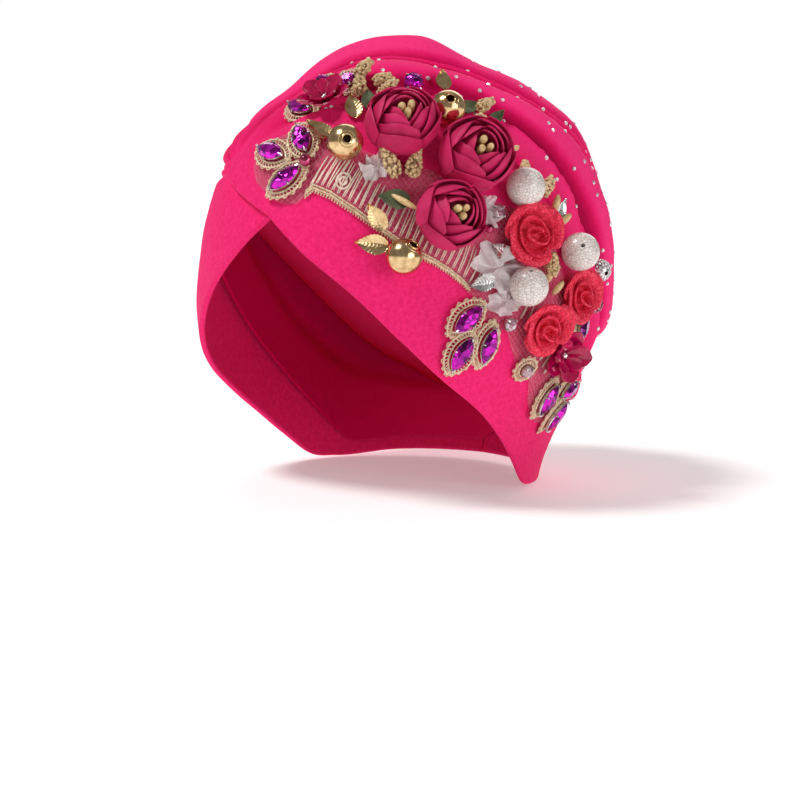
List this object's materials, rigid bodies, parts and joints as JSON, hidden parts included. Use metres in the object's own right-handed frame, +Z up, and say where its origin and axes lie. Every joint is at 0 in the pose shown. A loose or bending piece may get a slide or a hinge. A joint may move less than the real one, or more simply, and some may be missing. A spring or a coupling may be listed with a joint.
{
  "type": "turban",
  "caption": "Pleated pink turban with crossed smooth head bands and a side spray of cloth flowers, beads, leaves and cut stones on lace.",
  "frame": {"origin": "top of the head form inside the turban, where the turban rests on the head", "axes": "+Z up as worn, -Y towards the face, +X towards the wearer's left, where the spray of flowers sits"},
  "size_m": [0.1837, 0.2066, 0.1928],
  "materials": {
    "pink_cloth": "smooth knitted crepe, hot pink, matt",
    "lace": "embroidered net with gold cord",
    "raspberry_cloth": "thin foam cloth petals, matt raspberry",
    "coral_felt": "felt with fine glitter, coral red",
    "pink_acrylic": "moulded translucent petals, glossy",
    "gold_metal": "polished gold plate",
    "silver_metal": "bright silver plate",
    "pearl": "white crackled pearl lustre",
    "green_cloth": "stamped leaf cloth, dark green",
    "stamen_gold": "berry clusters dusted with gold",
    "purple_stone": "faceted purple stone in its claw cup",
    "clear_stone": "faceted pale pink stone in its cup"
  },
  "bodies": {
    "root": {"crown": "pink_cloth", "over_band": "pink_cloth", "under_band": "pink_cloth", "lace": "lace", "bud_rose_1": "raspberry_cloth", "bud_rose_2": "raspberry_cloth", "bud_rose_3": "raspberry_cloth", "bud_stamens_1": "stamen_gold", "bud_stamens_2": "stamen_gold", "bud_stamens_3": "stamen_gold", "felt_rose_1": "coral_felt", "felt_rose_2": "coral_felt", "felt_rose_3": "coral_felt", "acrylic_flower_1": "pink_acrylic", "acrylic_flower_2": "pink_acrylic", "gold_bead_1": "gold_metal", "gold_bead_2": "gold_metal", "gold_bead_3": "gold_metal", "pearl_1": "pearl", "pearl_2": "pearl", "pearl_3": "pearl", "side_bead_1": "silver_metal", "side_bead_2": "silver_metal", "gold_leaf_1": "gold_metal", "gold_leaf_2": "gold_metal", "gold_leaf_3": "gold_metal", "gold_leaf_4": "gold_metal", "gold_leaf_5": "gold_metal", "green_leaf_1": "green_cloth", "green_leaf_2": "green_cloth", "green_leaf_3": "green_cloth", "silver_leaf_1": "silver_metal", "silver_leaf_2": "silver_metal", "silver_leaf_3": "silver_metal", "sprig_1": "stamen_gold", "sprig_2": "stamen_gold", "sprig_3": "stamen_gold", "sprig_4": "stamen_gold", "sprig_5": "stamen_gold", "sprig_6": "stamen_gold", "sprig_7": "stamen_gold", "navette_1": "purple_stone", "navette_2": "purple_stone", "navette_3": "purple_stone", "navette_4": "purple_stone", "navette_5": "purple_stone", "navette_6": "purple_stone", "navette_7": "purple_stone", "navette_8": "purple_stone", "navette_9": "purple_stone", "navette_10": "purple_stone", "navette_11": "purple_stone", "round_stone_1": "purple_stone", "round_stone_2": "purple_stone", "round_stone_3": "purple_stone", "round_stone_4": "clear_stone", "round_stone_5": "clear_stone", "round_stone_6": "clear_stone"}
  },
  "joints": []
}
